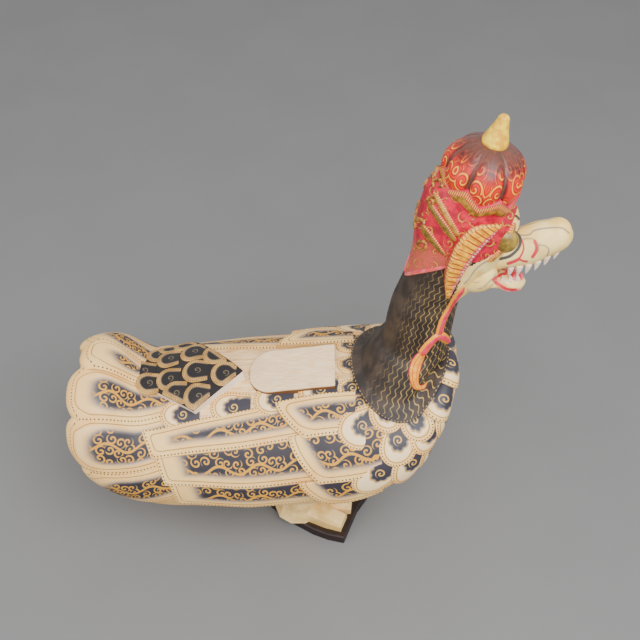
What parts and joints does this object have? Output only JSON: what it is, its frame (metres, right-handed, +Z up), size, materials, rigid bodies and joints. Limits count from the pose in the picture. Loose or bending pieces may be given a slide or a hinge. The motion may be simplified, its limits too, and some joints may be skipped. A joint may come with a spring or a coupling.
{
  "type": "garuda figure",
  "caption": "Carved and painted wooden garuda with a goose-like feathered body, a crowned and toothed head on a tall neck, a sawn flat seat on its back and clawed feet on a low plinth.",
  "frame": {"origin": "middle of the plinth's flat underside, on the bird's middle plane", "axes": "+X the way the bird faces, +Y the bird's left, +Z up"},
  "size_m": [0.6174, 0.2696, 0.6517],
  "materials": {
    "cream_paint": "aged cream paint with dark and gold ornament, satin",
    "dark_paint": "dark paint with gold, red and cream ornament, satin",
    "aged_cream": "aged cream paint, satin",
    "plinth_paint": "near-black brown paint, satin"
  },
  "bodies": {
    "root": {"body": "cream_paint", "neck_and_head": "dark_paint", "feet": "aged_cream", "plinth": "plinth_paint"}
  },
  "joints": []
}
